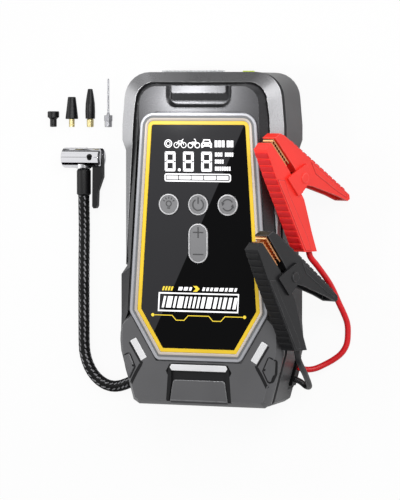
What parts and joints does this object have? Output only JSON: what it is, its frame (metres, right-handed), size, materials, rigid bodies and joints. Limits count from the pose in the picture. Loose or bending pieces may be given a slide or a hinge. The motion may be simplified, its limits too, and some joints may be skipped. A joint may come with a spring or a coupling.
{
  "type": "jump starter pack",
  "caption": "Grey handheld car jump starter with a tyre pump, black display panel in a yellow trim, air hose with lever chuck, red and black clamps on a plug-in lead, and loose valve adapters.",
  "frame": {"origin": "Middle of the flat back of the case, on the surface that the pack lies on.", "axes": "+Z out of the front panel, +Y along the case from the chin end to the lamp end, +X to the side that the jumper lead plugs into."},
  "size_m": [0.2068, 0.2111, 0.0839],
  "materials": {
    "case_side": "slightly satin moulded plastic, mid grey",
    "case_dark": "satin black moulded plastic",
    "case_grey": "satin dark grey moulded plastic",
    "frame_light": "satin light grey metallic paint",
    "bezel_metal": "satin silver",
    "trim_yellow": "glossy yellow",
    "panel_black": "glossy black with light graphics",
    "button_grey": "satin grey, translucent look",
    "lens_clear": "clear with a light diffuser behind",
    "cover_lime": "yellow-green rubber",
    "board_green": "circuit board green",
    "cell_foil": "foil pouch",
    "steel": "plain steel",
    "zinc": "cast, plain",
    "brass": "turned brass",
    "chrome": "polished chrome",
    "rubber_black": "black rubber",
    "hose_black": "black braid with a pale fleck",
    "cable_red": "red cable jacket",
    "cable_black": "black cable jacket",
    "grip_red": "glossy red plastic",
    "grip_black": "glossy dark grey plastic",
    "copper": "copper plated",
    "tube_clear": "translucent silicone tube"
  },
  "bodies": {
    "case": {"rear_shell": "case_side", "mid_frame": "case_dark", "front_frame": "frame_light", "front_cover": "case_side", "chin_bumper": "case_grey", "chin_side_bars": "bezel_metal", "chin_centre_bar": "bezel_metal", "bezel_ring": "bezel_metal", "yellow_trim": "trim_yellow", "display_panel": "panel_black", "lamp_lens": "lens_clear", "lamp_board": "board_green", "usb_socket": "steel", "case_screws": "steel", "lead_socket": "case_dark", "hose_gland": "rubber_black", "battery_cells": "cell_foil", "battery_tray": "case_dark", "main_board": "board_green", "display_module": "case_dark", "key_switches": "case_dark", "pump_motor": "steel", "pump_cylinder": "zinc", "cylinder_head": "zinc", "pump_frame": "steel", "air_tube": "tube_clear", "air_hose": "hose_black", "hose_ferrule": "rubber_black", "chuck_body": "chrome", "chuck_pin": "case_dark", "chuck_seal": "rubber_black", "screw_adapter": "case_dark", "cone_nozzles": "case_dark", "nozzle_inserts": "brass", "ball_needle": "chrome"},
    "light_key": {"light_button": "button_grey"},
    "power_key": {"power_button": "button_grey"},
    "mode_key": {"mode_button": "button_grey"},
    "level_key": {"level_rocker": "button_grey"},
    "port_flap": {"port_cover": "cover_lime"},
    "rotor": {"motor_pinion": "brass"},
    "crank": {"crank_gear": "case_dark"},
    "piston": {"pump_piston": "zinc"},
    "jumper_lead": {"lead_plug": "case_dark", "red_cable": "cable_red", "black_cable": "cable_black", "red_lower_grip": "grip_red", "red_lower_jaw": "copper", "red_clamp_pin": "grip_red", "red_clamp_spring": "steel", "black_lower_grip": "grip_black", "black_lower_jaw": "copper", "black_clamp_pin": "grip_black", "black_clamp_spring": "steel"},
    "red_handle": {"red_upper_grip": "grip_red", "red_upper_jaw": "copper"},
    "black_handle": {"black_upper_grip": "grip_black", "black_upper_jaw": "copper"},
    "lever": {"chuck_lever": "case_dark"}
  },
  "joints": [
    {"name": "light_press", "type": "slide", "parent": "case", "child": "light_key", "axis": [0, 0, -1], "range_m": [0, 0.0008], "stiffness_N_per_m": 900, "springref_m": -0.0004},
    {"name": "power_press", "type": "slide", "parent": "case", "child": "power_key", "axis": [0, 0, -1], "range_m": [0, 0.0008], "stiffness_N_per_m": 900, "springref_m": -0.0004},
    {"name": "mode_press", "type": "slide", "parent": "case", "child": "mode_key", "axis": [0, 0, -1], "range_m": [0, 0.0008], "stiffness_N_per_m": 900, "springref_m": -0.0004},
    {"name": "level_rock", "type": "hinge", "parent": "case", "child": "level_key", "pos_m": [0, -0.0022, 0.047], "axis": [1, 0, 0], "range_deg": [-3, 3], "stiffness_Nm_per_rad": 0.2},
    {"name": "port_flap_turn", "type": "hinge", "parent": "case", "child": "port_flap", "pos_m": [0.0265, 0.1038, 0.0189], "axis": [-1, 0, 0], "range_deg": [0, 90]},
    {"name": "crank_turn", "type": "hinge", "parent": "case", "child": "crank", "pos_m": [0.0016, 0.061, 0.0195], "axis": [0, 1, 0], "continuous": true},
    {"name": "rotor_turn", "type": "hinge", "parent": "case", "child": "rotor", "pos_m": [0.02, 0.061, 0.0195], "axis": [0, 1, 0], "continuous": true},
    {"name": "piston_slide", "type": "slide", "parent": "case", "child": "piston", "axis": [1, 0, 0], "range_m": [-0.005, 0.005]},
    {"name": "lead_plug_slide", "type": "slide", "parent": "case", "child": "jumper_lead", "axis": [0.9659, -0.2588, 0], "range_m": [0, 0.02]},
    {"name": "red_clamp_open", "type": "hinge", "parent": "jumper_lead", "child": "red_handle", "pos_m": [0.0615, 0.0392, 0.0409], "axis": [-0.8988, 0, -0.4384], "range_deg": [0, 30], "stiffness_Nm_per_rad": 0.2, "springref_deg": -34.38},
    {"name": "black_clamp_open", "type": "hinge", "parent": "jumper_lead", "child": "black_handle", "pos_m": [0.0589, -0.0216, 0.0522], "axis": [-0.9135, 0, -0.4067], "range_deg": [0, 27], "stiffness_Nm_per_rad": 0.2, "springref_deg": -34.38},
    {"name": "chuck_lever_turn", "type": "hinge", "parent": "case", "child": "lever", "pos_m": [-0.0885, 0.05, 0.0067], "axis": [0, 0, 1], "range_deg": [0, 90]}
  ],
  "couplings": [
    {"joint": "rotor_turn", "follows": "crank_turn", "ratio": -3.6}
  ]
}
